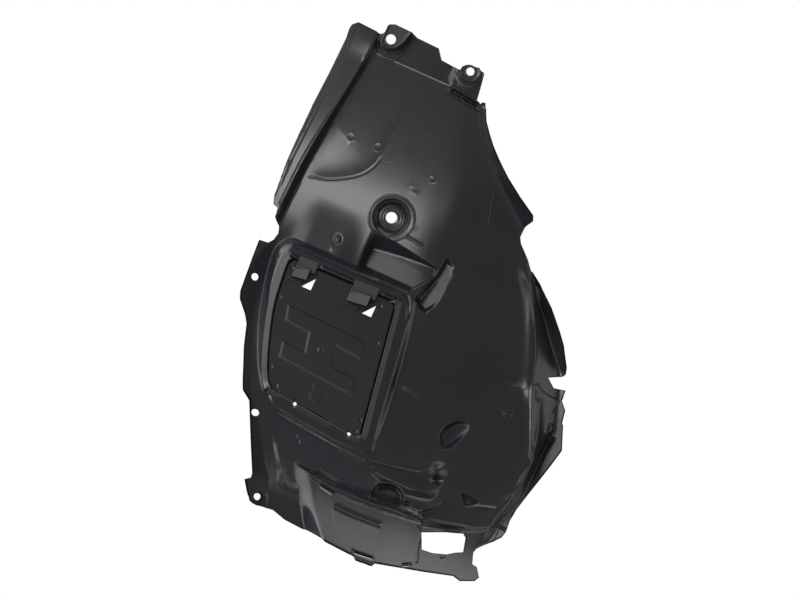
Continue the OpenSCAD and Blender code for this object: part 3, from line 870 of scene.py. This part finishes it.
# Each latch's left, right and top, and where all their plates and fingers end
LATCH_LOW, LATCH_FOOT = -92, -103.5
LATCHES = [(-74, -51, -79.5), (-8, 21.5, -78.5)]


def rim_shape(p, profile):
    """The rim is cut down where the two latch plates pass over it."""
    k, left_over, top_row = 0.0, 0.3, -90
    for a, b, _ in LATCHES:
        if p[1] > flat([[0, top_row]])[0, 1]:
            k = max(k, float(fade(a - 3.5, a - 1.5, p[0]) * (1 - fade(b + 1.5, b + 3.5, p[0]))))
    return [(e, z if z < left_over else left_over + (z - left_over) * (1 - k)) for e, z in profile]


# Profiles across the opening's edge, as points outwards and towards the viewer
RIM_PROFILE = [(0, -7.5), (0, 1.8), (0.25, 2.6), (0.9, 3.2), (1.5, 3.1), (2.2, 2.7),
    (6.0, -0.2), (6.7, -0.5), (7.0, -0.9), (6.5, -1.6), (2.6, -2.4), (2.5, -7.5)]
LEDGE_PROFILE = [(1.0, -4.9), (-4.6, -4.9), (-5.0, -4.5), (-5.0, -3.3), (-4.6, -2.9), (1.0, -2.9)]
frame_rim = loop_sweep("hatch_rim", opening, RIM_PROFILE, rim_shape)
finished(frame_rim, "liner", liner_black)


def ledge_shape(p, profile):
    """Along the hinge the ledge lies further back, clear of the cover as it opens."""
    low, high, middle = -219, -212, -4
    front_back, rear_back = 3.4, 2.7
    k = float(fade(flat([[0, low]])[0, 1], flat([[0, high]])[0, 1], p[1]))
    return [(e, z - (front_back if z > middle else rear_back) * (1 - k)) for e, z in profile]


frame_ledge = loop_sweep("hatch_ledge", opening, LEDGE_PROFILE, ledge_shape)
for spot in TAB_HOLES:
    drill(frame_rim, spot)
    drill(frame_ledge, spot)
finished(frame_ledge, "liner", liner_black)

HINGE_LEFT, HINGE_RIGHT = -33, 52
HINGE = flat([[HINGE_LEFT, -222.5], [HINGE_RIGHT, -230.5]])
HINGE_TURN = math.atan2(*(HINGE[1] - HINGE[0])[::-1])
HINGE_TABS = ((-34, -16), (31, 52))


def by_hinge(points):
    """Points along and above the hinge's line, on the hatch's plane."""
    c, s = math.cos(HINGE_TURN), math.sin(HINGE_TURN)
    return [(HINGE[0, 0] + (x - HINGE_LEFT) * c - y * s, HINGE[0, 1] + (x - HINGE_LEFT) * s + y * c)
            for x, y in points]


for i, (a, b) in enumerate(HINGE_TABS):
    tab = block(f"hinge_tab_{i + 1}", by_hinge([(a, -10), (b, -10), (b, 0), (a, 0)]), 0.4, 2.4)
    finished(bevelled(tab, 0.5), "liner", liner_black)

cover_black = plastic("cover_black", (0.0125, 0.0127, 0.0125), 0.40, 0.12)
PATTERN = flat([[-64, -134], [28, -137.5], [33, -156], [0, -153], [5, -177], [37, -179],
    [41, -196], [-50, -189], [-53, -173], [-26, -174.5], [-31, -152], [-60, -150]])
COVER_TOLERANCE = 0.03
cover_edge = shifted(opening, -COVER_GAP)
WINDOWS = [flat([[b + 2.5, -95], [b + 2.5, -109], [b - 9, -109]]) for _, b, _ in LATCHES]
# Small dimples along the cover's edge
DIMPLES = [(-77, -95), (-76.5, -129.5), (-54, -203), (-40, -220), (29, -94), (42, -132),
    (59, -216.5), (60, -230)]


def cover_depth(x, y):
    """The cover's front, over the hatch's plane."""
    x, y = np.asarray(x, float), np.asarray(y, float)
    out = plate(PATTERN, 1.4, 2.0)(x, y)
    g = flat([[-13, -165]])[0]
    out = out + gate(g[0], g[1], 3.2, 0.6)(x, y)
    for a, b in DIMPLES:
        m = flat([[a, b]])[0]
        out = out + 1.2 * np.exp(-((x - m[0]) ** 2 + (y - m[1]) ** 2) / 2.4)
    p = flat([[-3, -201], [9, -202], [10, -219], [-2, -218]])
    return out + plate(p, 0.25, 1.0)(x, y)


cover = sheet_mesh("access_cover_plate", cover_edge, WINDOWS, cover_depth, COVER_TOLERANCE,
                   wall=COVER_WALL, spacing=1.5, round_by=0.4, leaning=True)
finished(cover, "cover", cover_black)
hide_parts("access_cover")
# How far the latch pieces reach into the cover, and how far the bar below them stands out
SUNK, BAR_TOP = -1, 1.6


def box(left, right, low, high):
    return [(left, low), (right, low), (right, high), (left, high)]


for i, (a, b, v) in enumerate(LATCHES):
    top, low, foot = (flat([[0, w]])[0, 1] for w in (v, LATCH_LOW, LATCH_FOOT))

    def plate_top(x, y, a=a):
        return 1.0 + 0.18 * (x - a)

    def finger_top(x, y, a=a):
        return 1.6 + 0.34 * (x - a)

    def roll_top(x, y, a=a):
        return 3.6 + 0.16 * (x - a)

    over = block(f"latch_plate_{i + 1}", box(a, b - 1, low - 1, top), 0.4, plate_top)
    finished(bevelled(over, 0.6), "cover", cover_black)
    finger = block(f"latch_finger_{i + 1}", box(a - 0.5, b - 6.5, foot, low + 1), SUNK, finger_top)
    finished(bevelled(finger, 0.8, 3), "cover", cover_black)
    roll = block(f"latch_roll_{i + 1}", box(a - 0.5, b - 5, low - 1.5, low + 2.6), SUNK, roll_top)
    finished(bevelled(roll, 1.5, 4), "cover", cover_black)
    line = flat([[a - 4, -104.8], [a + 16, -105.8], [a + 16, -108.6], [a - 4, -107.4]])
    bar = block(f"latch_bar_{i + 1}", line, SUNK, BAR_TOP)
    finished(bevelled(bar, 0.9, 3), "cover", cover_black)


# The world's level from below and from above
WORLD_LOW, WORLD_HIGH = 0.17, 0.21
LAMP_AIM = (0.06, -0.03, -0.08)
FLOOR_BELOW, FLOOR_HALF = 0.004, 6.0
# The camera's distance, the width it sees, its roll and the place it looks at, in metres
CAMERA_DISTANCE, VIEW_WIDTH, CAMERA_ROLL = 20.0, 0.88, 24
CAMERA_RIGHT, CAMERA_UP = 0.0454, -0.0789
SENSOR = 36
# Each lamp's name, direction from the object, distance, width, height and radiance
LAMPS = [("left_low", (-0.50, -0.83, -0.29), 2.4, 2.1, 2.1, 5.2),
         ("left_high", (-0.82, -0.26, 0.50), 2.2, 3.0, 1.9, 1.4),
         ("left_back", (-0.95, 0.25, 0.30), 2.2, 1.6, 1.6, 0.9),
         ("right_low", (0.12, -0.95, -0.26), 2.4, 1.2, 1.2, 1.6),
         ("right_high", (0.95, 0.05, 0.35), 2.2, 1.6, 1.6, 0.6),
         ("top_back", (-0.15, 0.36, 1.0), 2.2, 2.4, 1.2, 1.4)]


def white_ground():
    m = bpy.data.materials.new("pale_ground")
    m.use_nodes = True
    t = m.node_tree
    shader = t.nodes["Principled BSDF"]
    shader.inputs["Base Color"].default_value = (0.5, 0.5, 0.5, 1)
    shader.inputs["Roughness"].default_value = 0.9
    glow = t.nodes.new("ShaderNodeEmission")
    glow.inputs["Color"].default_value = (1, 1, 1, 1)
    glow.inputs["Strength"].default_value = 1.0
    path = t.nodes.new("ShaderNodeLightPath")
    mix = t.nodes.new("ShaderNodeMixShader")
    t.links.new(path.outputs["Is Camera Ray"], mix.inputs["Fac"])
    t.links.new(shader.outputs["BSDF"], mix.inputs[1])
    t.links.new(glow.outputs["Emission"], mix.inputs[2])
    t.links.new(mix.outputs["Shader"], t.nodes["Material Output"].inputs["Surface"])
    return m


def ground():
    """A plain floor just below the object, which the camera sees as white."""
    z, s = float(cad_box[0][2]) - FLOOR_BELOW, FLOOR_HALF
    mesh = bpy.data.meshes.new("floor")
    mesh.from_pydata([(-s, -s, z), (s, -s, z), (s, s, z), (-s, s, z)], [], [(0, 1, 2, 3)])
    floor = bpy.data.objects.new("floor", mesh)
    bpy.context.scene.collection.objects.link(floor)
    mesh.materials.append(white_ground())


def lights():
    world = bpy.data.worlds.new("studio")
    bpy.context.scene.world = world
    world.use_nodes = True
    t = world.node_tree
    back = t.nodes["Background"]
    place = t.nodes.new("ShaderNodeTexCoord")
    apart = t.nodes.new("ShaderNodeSeparateXYZ")
    level = t.nodes.new("ShaderNodeMapRange")
    level.inputs["From Min"].default_value = -1
    level.inputs["From Max"].default_value = 1
    level.inputs["To Min"].default_value = WORLD_LOW
    level.inputs["To Max"].default_value = WORLD_HIGH
    t.links.new(place.outputs["Generated"], apart.inputs["Vector"])
    t.links.new(apart.outputs["Z"], level.inputs["Value"])
    t.links.new(level.outputs["Result"], back.inputs["Strength"])
    back.inputs["Color"].default_value = (1, 1, 1, 1)
    white = t.nodes.new("ShaderNodeBackground")
    white.inputs["Color"].default_value = (1, 1, 1, 1)
    white.inputs["Strength"].default_value = 1.0
    path = t.nodes.new("ShaderNodeLightPath")
    mix = t.nodes.new("ShaderNodeMixShader")
    t.links.new(path.outputs["Is Camera Ray"], mix.inputs["Fac"])
    t.links.new(back.outputs["Background"], mix.inputs[1])
    t.links.new(white.outputs["Background"], mix.inputs[2])
    t.links.new(mix.outputs["Shader"], t.nodes["World Output"].inputs["Surface"])
    for name, towards, away, wide, tall, radiance in LAMPS:
        lamp = bpy.data.lights.new(name, "AREA")
        lamp.shape = "RECTANGLE"
        lamp.size, lamp.size_y = wide, tall
        lamp.energy = radiance * math.pi * wide * tall
        o = bpy.data.objects.new(name, lamp)
        middle = Vector(LAMP_AIM)
        o.location = middle + Vector(towards).normalized() * away
        o.rotation_euler = (middle - o.location).to_track_quat("-Z", "Y").to_euler()
        o.visible_camera = False
        bpy.context.scene.collection.objects.link(o)


def camera():
    lens = bpy.data.cameras.new("camera")
    lens.sensor_width = SENSOR
    lens.lens = lens.sensor_width * CAMERA_DISTANCE / VIEW_WIDTH
    lens.clip_end = 5 * CAMERA_DISTANCE
    o = bpy.data.objects.new("camera", lens)
    a = math.radians(CAMERA_ROLL)
    right = Vector((math.cos(a), 0, math.sin(a)))
    up = Vector((-math.sin(a), 0, math.cos(a)))
    back = right.cross(up)
    m = Matrix((right, up, back)).transposed().to_4x4()
    m.translation = Vector((CAMERA_RIGHT, -CAMERA_DISTANCE, CAMERA_UP))
    o.matrix_world = m
    bpy.context.scene.collection.objects.link(o)
    bpy.context.scene.camera = o


ground()
lights()
camera()
bpy.context.scene.view_settings.view_transform = "Standard"
